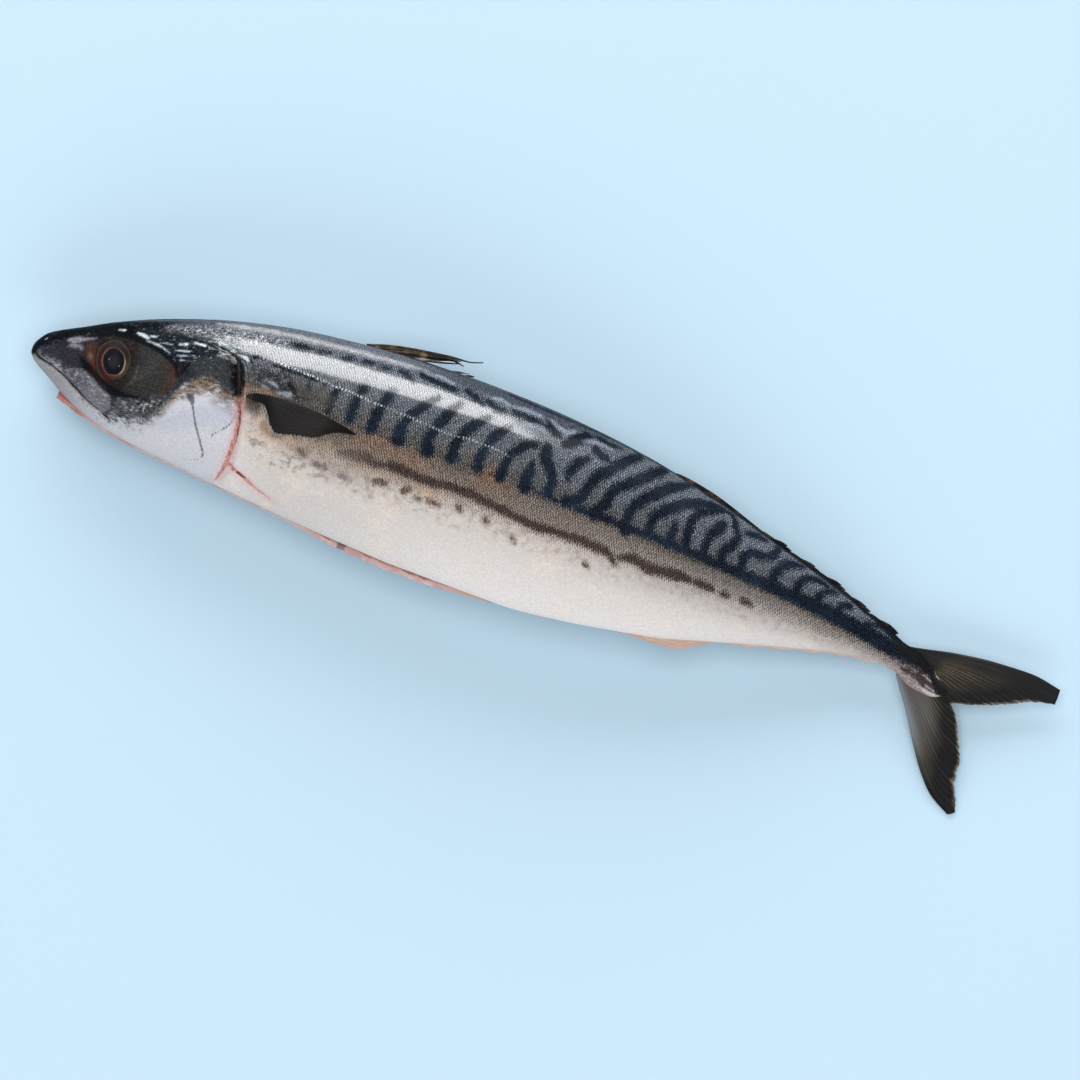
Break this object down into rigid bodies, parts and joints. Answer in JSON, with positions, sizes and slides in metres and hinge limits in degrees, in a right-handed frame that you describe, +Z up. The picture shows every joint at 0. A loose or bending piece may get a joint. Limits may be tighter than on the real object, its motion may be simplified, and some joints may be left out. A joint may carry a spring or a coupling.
{
  "type": "whole raw fish",
  "caption": "Whole raw mackerel lying on its side, gutted along the belly, with a forked tail, folded fins and a dark banded back over a silver-white belly.",
  "frame": {"origin": "on the table under the middle of the fish, at the centre of its outline seen from above", "axes": "+X from the snout to the tail, +Y from the belly to the back, +Z up from the table through the left flank"},
  "size_m": [0.3504, 0.0844, 0.0431],
  "materials": {
    "skin": "wet, glossy skin with very fine scales, dark wavy bands on a grey back and a white belly",
    "eye": "wet and clear over a black pupil with a thin pale gold ring"
  },
  "bodies": {
    "root": {"fish": "skin", "eye_left": "eye", "eye_right": "eye"}
  },
  "joints": []
}
